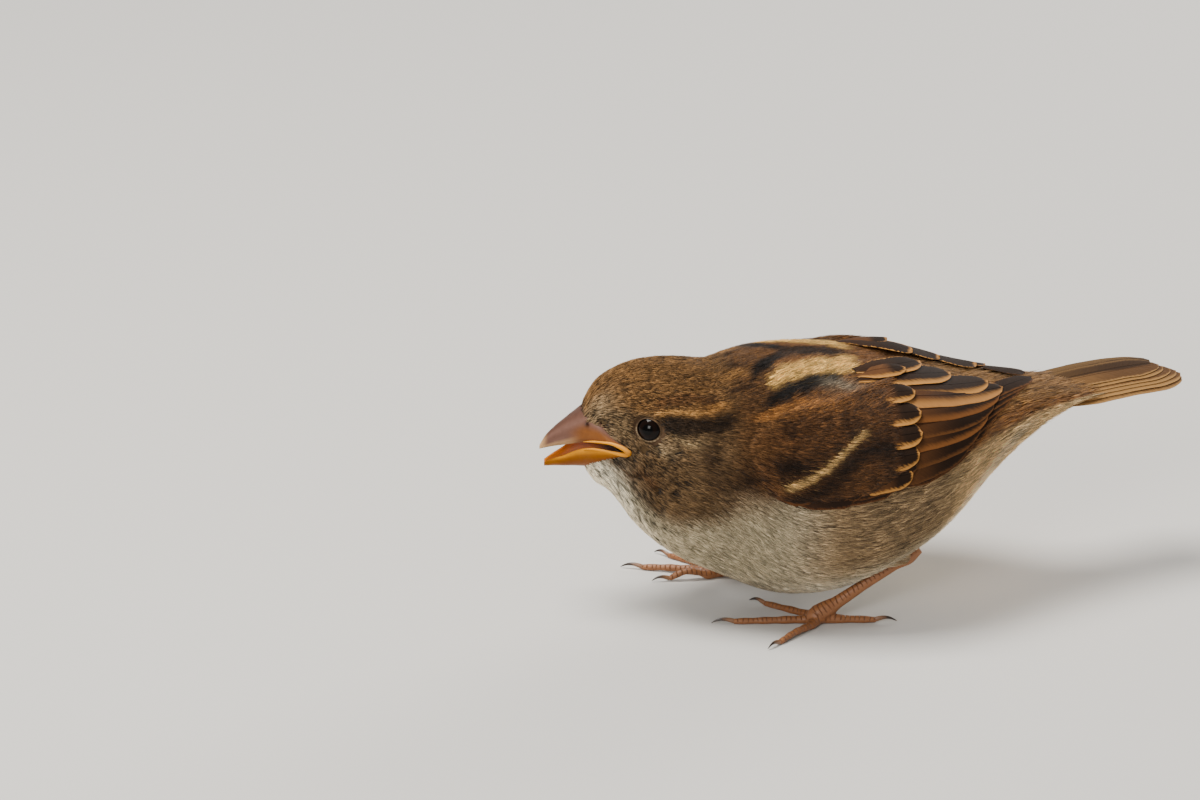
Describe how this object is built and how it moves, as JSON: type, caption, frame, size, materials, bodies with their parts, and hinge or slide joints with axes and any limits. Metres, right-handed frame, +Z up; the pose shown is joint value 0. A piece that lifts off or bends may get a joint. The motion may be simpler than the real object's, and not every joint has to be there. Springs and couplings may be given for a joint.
{
  "type": "juvenile house sparrow model",
  "caption": "Life-size still model of a fledgling house sparrow, crouched with its head low, bill a little open, wings folded and tail level.",
  "frame": {"origin": "on the floor under the middle of the bird's box", "axes": "+Z up; the bird faces -Y with its tail towards +Y, and its left side is +X"},
  "size_m": [0.0514, 0.1286, 0.0525],
  "materials": {
    "plumage": "soft matt feathers: grey-brown crown and cheeks, buff and black streaked mantle, pale grey-buff underside",
    "wing_feathers": "satin vanes, dark brown with chestnut and golden-buff edges",
    "tail_feathers": "satin vanes, brown with buff edges",
    "bill_upper": "semi-gloss horn, pinkish grey-brown with a cream edge and tip",
    "bill_lower": "semi-gloss horn, yellow with orange-brown along its keel",
    "eye": "wet black-brown",
    "leg_skin": "scaled skin, pinkish orange-brown",
    "claw": "dark horn"
  },
  "bodies": {
    "root": {"head": "plumage", "neck": "plumage", "trunk": "plumage", "rump": "plumage", "shank_left": "plumage", "wing_left_coverts": "wing_feathers", "wing_left_secondaries": "wing_feathers", "wing_left_primaries": "wing_feathers", "wing_right_coverts": "wing_feathers", "wing_right_secondaries": "wing_feathers", "wing_right_primaries": "wing_feathers", "tail": "tail_feathers", "bill_upper": "bill_upper", "bill_lower": "bill_lower", "eye_left": "eye", "tarsus_left": "leg_skin", "toe_left_inner": "leg_skin", "claw_left_inner": "claw", "toe_left_middle": "leg_skin", "claw_left_middle": "claw", "toe_left_outer": "leg_skin", "claw_left_outer": "claw", "toe_left_hind": "leg_skin", "claw_left_hind": "claw", "eye_right": "eye", "tarsus_right": "leg_skin", "toe_right_inner": "leg_skin", "claw_right_inner": "claw", "toe_right_middle": "leg_skin", "claw_right_middle": "claw", "toe_right_outer": "leg_skin", "claw_right_outer": "claw", "toe_right_hind": "leg_skin", "claw_right_hind": "claw"}
  },
  "joints": []
}
